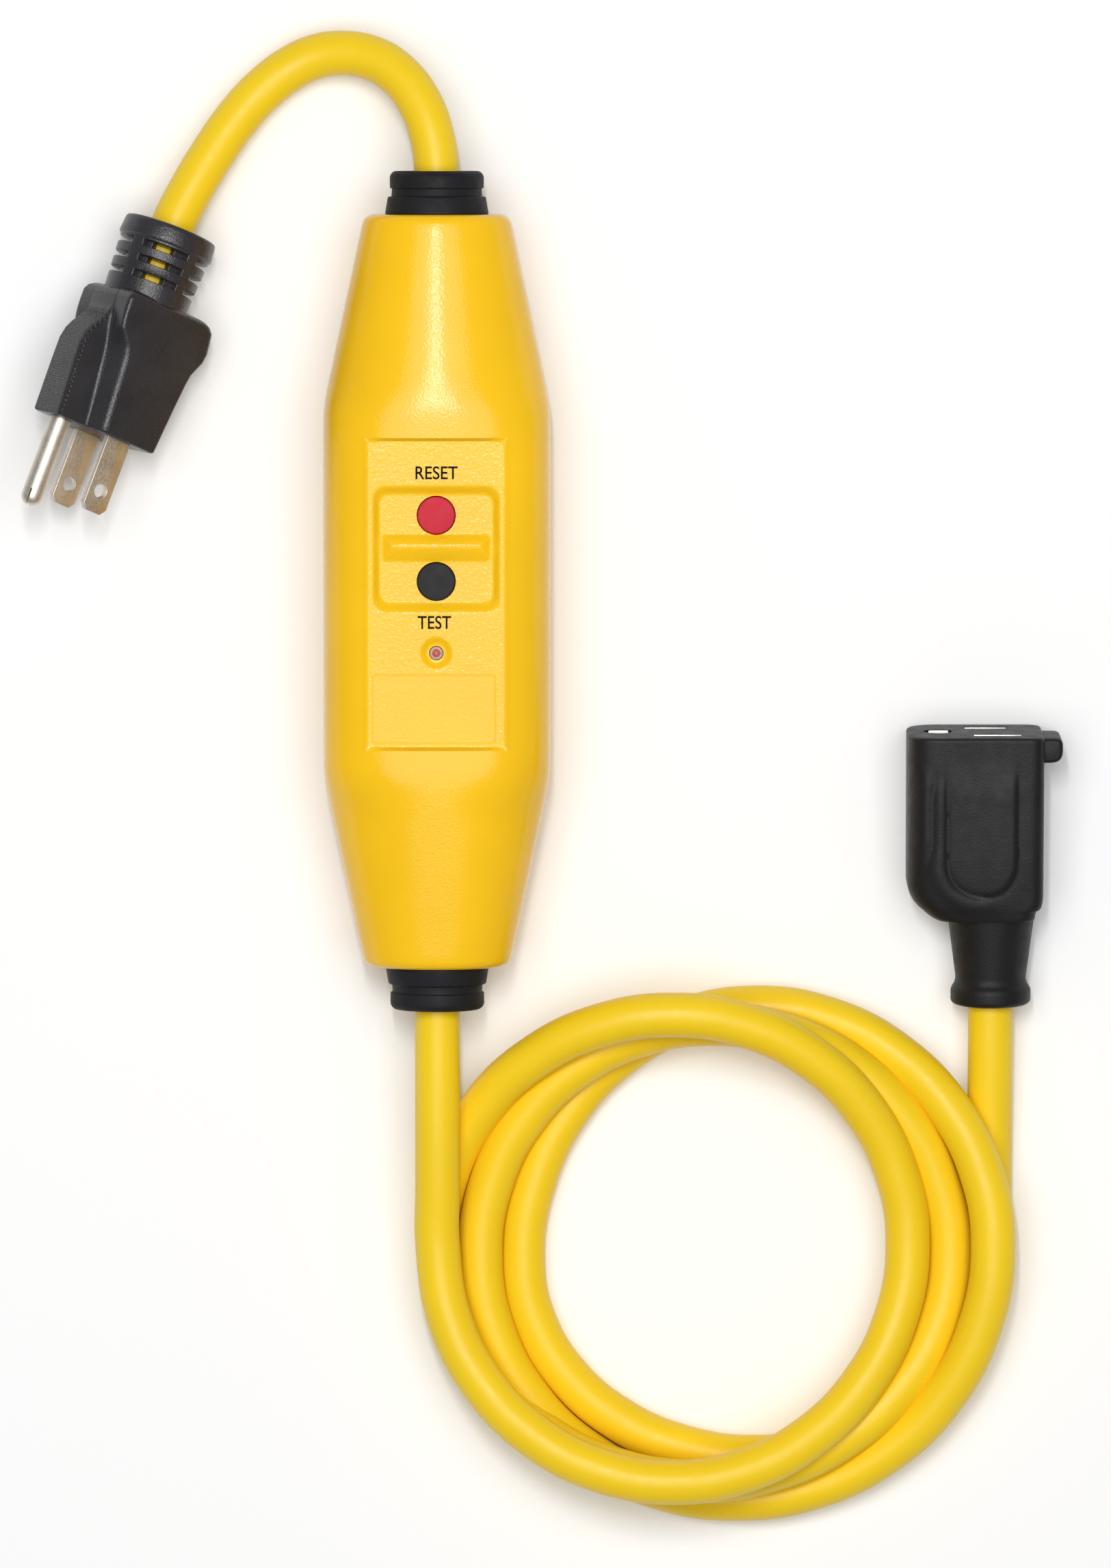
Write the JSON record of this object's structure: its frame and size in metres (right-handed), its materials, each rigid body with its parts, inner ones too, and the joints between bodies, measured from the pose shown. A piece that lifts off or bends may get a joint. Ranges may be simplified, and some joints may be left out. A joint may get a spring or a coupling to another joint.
{
  "type": "inline ground-fault cord set",
  "caption": "Inline ground-fault protector with reset and test buttons, grounding plug on a short cord and a coiled output cord that ends in a grounding connector.",
  "frame": {"origin": "under the middle of the housing, on the surface that everything lies on", "axes": "+Y along the housing towards the plug end, +Z out of the face with the buttons"},
  "size_m": [0.2307, 0.331, 0.038],
  "materials": {
    "housing_yellow": "satin moulded amber-yellow",
    "cord_yellow": "glossy lemon-yellow PVC jacket",
    "black_rubber": "matte black rubber",
    "steel": "zinc plated",
    "grey_plastic": "moulded",
    "blue_plastic": "moulded",
    "circuit_green": "solder mask",
    "ferrite": "sintered",
    "copper_winding": "enamelled copper wire",
    "brass": "stamped",
    "reset_red": "satin red",
    "button_black": "satin black",
    "lamp_clear": "clear lens over a red die",
    "varistor_orange": "dipped epoxy",
    "component_tan": "moulded",
    "wire_black": "PVC insulation",
    "wire_white": "PVC insulation",
    "wire_green": "PVC insulation",
    "plug_black": "fine-grained semi-gloss black PVC",
    "connector_black": "matte grained black",
    "nickel": "warm nickel plate"
  },
  "bodies": {
    "root": {"rear_cover": "housing_yellow", "front_cover": "housing_yellow", "cover_gasket": "black_rubber", "label_plate": "housing_yellow", "cover_screws": "steel", "input_gland": "black_rubber", "output_gland": "black_rubber", "input_cord_clamp": "grey_plastic", "output_cord_clamp": "grey_plastic", "clamp_screws": "steel", "circuit_board": "circuit_green", "board_screws": "steel", "transformer_housing": "grey_plastic", "sense_transformer_core": "ferrite", "neutral_transformer_core": "ferrite", "solenoid_frame": "steel", "solenoid_bobbin": "grey_plastic", "solenoid_coil": "copper_winding", "plunger_spring": "steel", "switch_frame": "grey_plastic", "switch_cap": "grey_plastic", "input_contacts": "brass", "output_contacts": "brass", "reset_spring": "steel", "test_spring": "steel", "button_seals": "black_rubber", "test_contact_posts": "brass", "indicator_led": "lamp_clear", "led_holder": "button_black", "surge_varistor": "varistor_orange", "filter_capacitor": "component_tan", "control_chip": "button_black", "test_resistor": "component_tan", "rectifier_diodes": "button_black", "line_in_wire": "wire_black", "neutral_in_wire": "wire_white", "ground_wire": "wire_green", "line_out_wire": "wire_black", "neutral_out_wire": "wire_white", "input_cord": "cord_yellow", "output_cord_lead": "cord_yellow", "output_cord_coil": "cord_yellow", "output_cord_tail": "cord_yellow", "plug_body": "plug_black", "plug_strain_relief": "plug_black", "plug_blades": "nickel", "plug_ground_pin": "nickel", "connector_body": "connector_black", "connector_contacts": "brass"},
    "reset": {"reset_button": "reset_red", "reset_stem": "steel"},
    "carriage": {"contact_carriage": "blue_plastic", "moving_contacts": "brass"},
    "latch": {"latch_plate": "steel"},
    "plunger": {"solenoid_plunger": "steel"},
    "test": {"test_button": "button_black"},
    "test_arm": {"test_contact_arm": "brass"}
  },
  "joints": [
    {"name": "reset_press", "type": "slide", "parent": "root", "child": "reset", "axis": [0, 0, -1], "range_m": [0, 0.002], "stiffness_N_per_m": 500, "springref_m": -0.002, "deforming": ["reset_spring"]},
    {"name": "carriage_travel", "type": "slide", "parent": "root", "child": "carriage", "axis": [0, 0, -1], "range_m": [0, 0.002]},
    {"name": "test_press", "type": "slide", "parent": "root", "child": "test", "axis": [0, 0, -1], "range_m": [0, 0.0015], "stiffness_N_per_m": 400, "springref_m": -0.002, "deforming": ["test_spring"]},
    {"name": "test_arm_bend", "type": "hinge", "parent": "root", "child": "test_arm", "pos_m": [-0.0072, 0.0028, 0.022], "axis": [0, 1, 0], "range_deg": [0, 12]},
    {"name": "plunger_stroke", "type": "slide", "parent": "root", "child": "plunger", "axis": [0, -1, 0], "range_m": [0, 0.0025], "stiffness_N_per_m": 200, "springref_m": -0.002, "deforming": ["plunger_spring"]},
    {"name": "latch_slide", "type": "slide", "parent": "carriage", "child": "latch", "axis": [0, -1, 0], "range_m": [0, 0.0025]}
  ],
  "couplings": [
    {"joint": "carriage_travel", "follows": "reset_press", "ratio": 1},
    {"joint": "test_arm_bend", "follows": "test_press", "rad_per_m": 138.9},
    {"joint": "latch_slide", "follows": "plunger_stroke", "ratio": 1}
  ]
}
